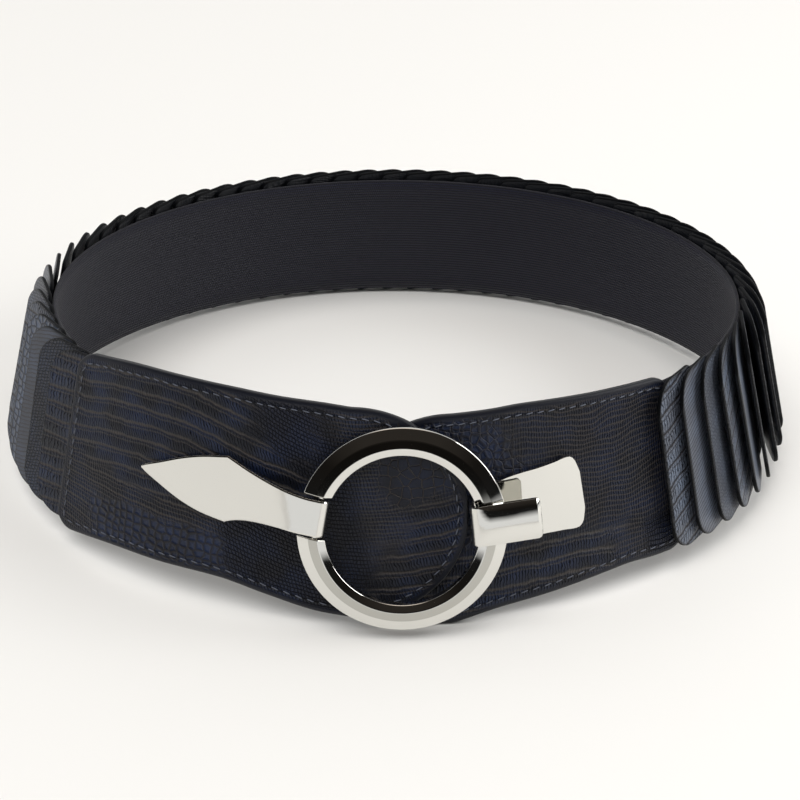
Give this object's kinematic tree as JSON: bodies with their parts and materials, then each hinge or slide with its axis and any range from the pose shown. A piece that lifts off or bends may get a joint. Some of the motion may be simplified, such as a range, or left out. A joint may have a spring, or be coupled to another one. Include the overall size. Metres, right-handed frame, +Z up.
{
  "type": "elastic stretch belt",
  "caption": "Fastened waist belt: embossed leather front panels with a ring and hook buckle, and an elastic band covered with overlapping leather plates.",
  "frame": {"origin": "middle of the underside of the fastened belt, where it stands on its lower edge", "axes": "+X towards the wearer's left, -Y out of the buckle, +Z up through the waist opening"},
  "size_m": [0.3196, 0.2712, 0.0825],
  "materials": {
    "leather": "embossed, satin",
    "plate_leather": "embossed, satin",
    "elastic": "woven",
    "nickel": "polished"
  },
  "bodies": {
    "root": {"front_panel_right": "leather", "front_panel_left": "leather", "elastic_band": "elastic", "plate_01": "plate_leather", "plate_02": "plate_leather", "plate_03": "plate_leather", "plate_04": "plate_leather", "plate_05": "plate_leather", "plate_06": "plate_leather", "plate_07": "plate_leather", "plate_08": "plate_leather", "plate_09": "plate_leather", "plate_10": "plate_leather", "plate_11": "plate_leather", "plate_12": "plate_leather", "plate_13": "plate_leather", "plate_14": "plate_leather", "plate_15": "plate_leather", "plate_16": "plate_leather", "plate_17": "plate_leather", "plate_18": "plate_leather", "plate_19": "plate_leather", "plate_20": "plate_leather", "plate_21": "plate_leather", "plate_22": "plate_leather", "plate_23": "plate_leather", "plate_24": "plate_leather", "plate_25": "plate_leather", "plate_26": "plate_leather", "plate_27": "plate_leather", "plate_28": "plate_leather", "plate_29": "plate_leather", "plate_30": "plate_leather", "plate_31": "plate_leather", "plate_32": "plate_leather", "plate_33": "plate_leather", "plate_34": "plate_leather", "plate_35": "plate_leather", "plate_36": "plate_leather", "plate_37": "plate_leather", "plate_38": "plate_leather", "plate_39": "plate_leather", "plate_40": "plate_leather", "plate_41": "plate_leather", "plate_42": "plate_leather", "plate_43": "plate_leather", "plate_44": "plate_leather", "plate_45": "plate_leather", "plate_46": "plate_leather", "plate_47": "plate_leather", "plate_48": "plate_leather", "plate_49": "plate_leather", "plate_50": "plate_leather", "plate_51": "plate_leather", "plate_52": "plate_leather", "ring": "nickel", "hinge_pin": "nickel", "leaf_plate": "nickel", "hook": "nickel"}
  },
  "joints": []
}
